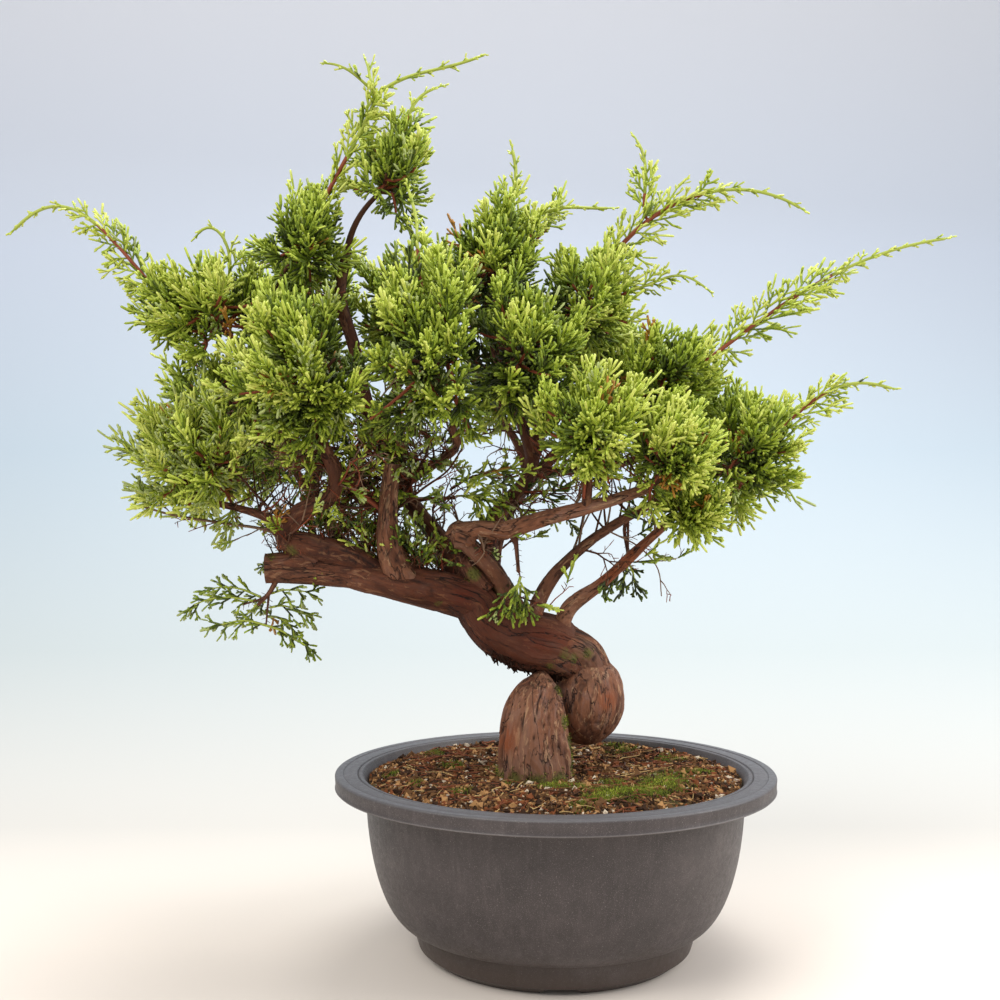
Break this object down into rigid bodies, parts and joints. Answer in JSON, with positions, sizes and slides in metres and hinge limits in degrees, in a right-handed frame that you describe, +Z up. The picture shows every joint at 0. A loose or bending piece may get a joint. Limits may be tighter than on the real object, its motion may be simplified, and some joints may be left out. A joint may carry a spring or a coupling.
{
  "type": "itoigawa chinese juniper bonsai in a round pot",
  "caption": "Chinese juniper bonsai with a coiled trunk, spreading boughs and clouds of scale foliage, growing in a round flared pot filled with soil.",
  "frame": {"origin": "centre of the flat underside of the pot", "axes": "+Z up along the pot's axis, -Y towards the front of the tree, +X to its right"},
  "size_m": [0.5588, 0.25, 0.5198],
  "materials": {
    "pot": "matte charcoal plastic with fine pale dust",
    "soil": "coarse brown mineral granules with patches of moss",
    "bark": "flaking reddish brown bark",
    "foliage": "bright green scale leaves"
  },
  "bodies": {
    "root": {"bough_apex": "bark", "bough_back": "bark", "bough_back_high": "bark", "bough_back_left": "bark", "bough_back_left_high": "bark", "bough_back_low": "bark", "bough_back_mid": "bark", "bough_back_right": "bark", "bough_centre": "bark", "bough_front_right": "bark", "bough_front_root": "bark", "bough_front_side": "bark", "bough_left": "bark", "bough_left_back": "bark", "bough_left_low": "bark", "bough_left_rise": "bark", "bough_left_top": "bark", "bough_mid": "bark", "bough_right_high": "bark", "bough_right_low": "bark", "bough_right_mid": "bark", "bough_top": "bark", "foliage_back_left_low": "foliage", "foliage_back_left_top": "foliage", "foliage_back_mid": "foliage", "foliage_back_right": "foliage", "foliage_back_right_low": "foliage", "foliage_back_top": "foliage", "foliage_centre_mid": "foliage", "foliage_centre_spray": "foliage", "foliage_centre_top": "foliage", "foliage_crown_left": "foliage", "foliage_crown_top": "foliage", "foliage_front_centre": "foliage", "foliage_front_left": "foliage", "foliage_front_right": "foliage", "foliage_front_right_low": "foliage", "foliage_front_right_mid": "foliage", "foliage_hanging_left": "foliage", "foliage_hanging_spray": "foliage", "foliage_hanging_spray_right": "foliage", "foliage_left_back": "foliage", "foliage_left_low": "foliage", "foliage_left_top": "foliage", "foliage_right_low": "foliage", "foliage_right_top": "foliage", "foliage_right_upper": "foliage", "limb_left": "bark", "pot": "pot", "soil": "soil", "stub_front": "bark", "trunk": "bark", "twig_centre": "bark", "twig_hanging": "bark", "twig_hanging_right": "bark", "twig_limb_end": "bark"}
  },
  "joints": []
}
